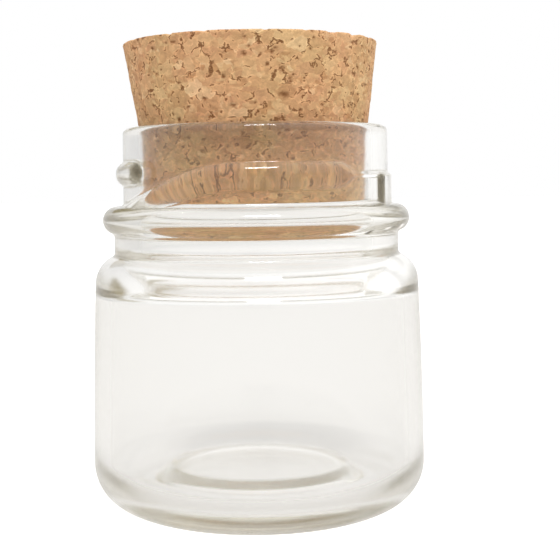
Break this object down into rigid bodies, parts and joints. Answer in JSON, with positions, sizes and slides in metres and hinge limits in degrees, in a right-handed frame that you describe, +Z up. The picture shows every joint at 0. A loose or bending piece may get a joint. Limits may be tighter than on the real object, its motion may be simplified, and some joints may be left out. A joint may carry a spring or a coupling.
{
  "type": "glass jar with cork stopper",
  "caption": "Small wide-mouth storage jar in clear pressed glass, with a rounded bead and a thread ridge on the neck and a tapered agglomerated cork stopper pushed into its mouth.",
  "frame": {"origin": "centre of the flat ring that the jar stands on", "axes": "+Z up along the jar's axis; -Y is the side shown in the picture, where the thread ridge climbs off the bead on the left and runs level across the front"},
  "size_m": [0.062, 0.062, 0.086],
  "materials": {
    "clear_glass": "gloss",
    "agglomerated_cork": "matte"
  },
  "bodies": {
    "jar": {"glass_jar": "clear_glass"},
    "cork": {"cork_stopper": "agglomerated_cork"}
  },
  "joints": [
    {"name": "cork_lift", "type": "slide", "parent": "jar", "child": "cork", "axis": [0, 0, 1], "range_m": [0, 0.06]}
  ]
}
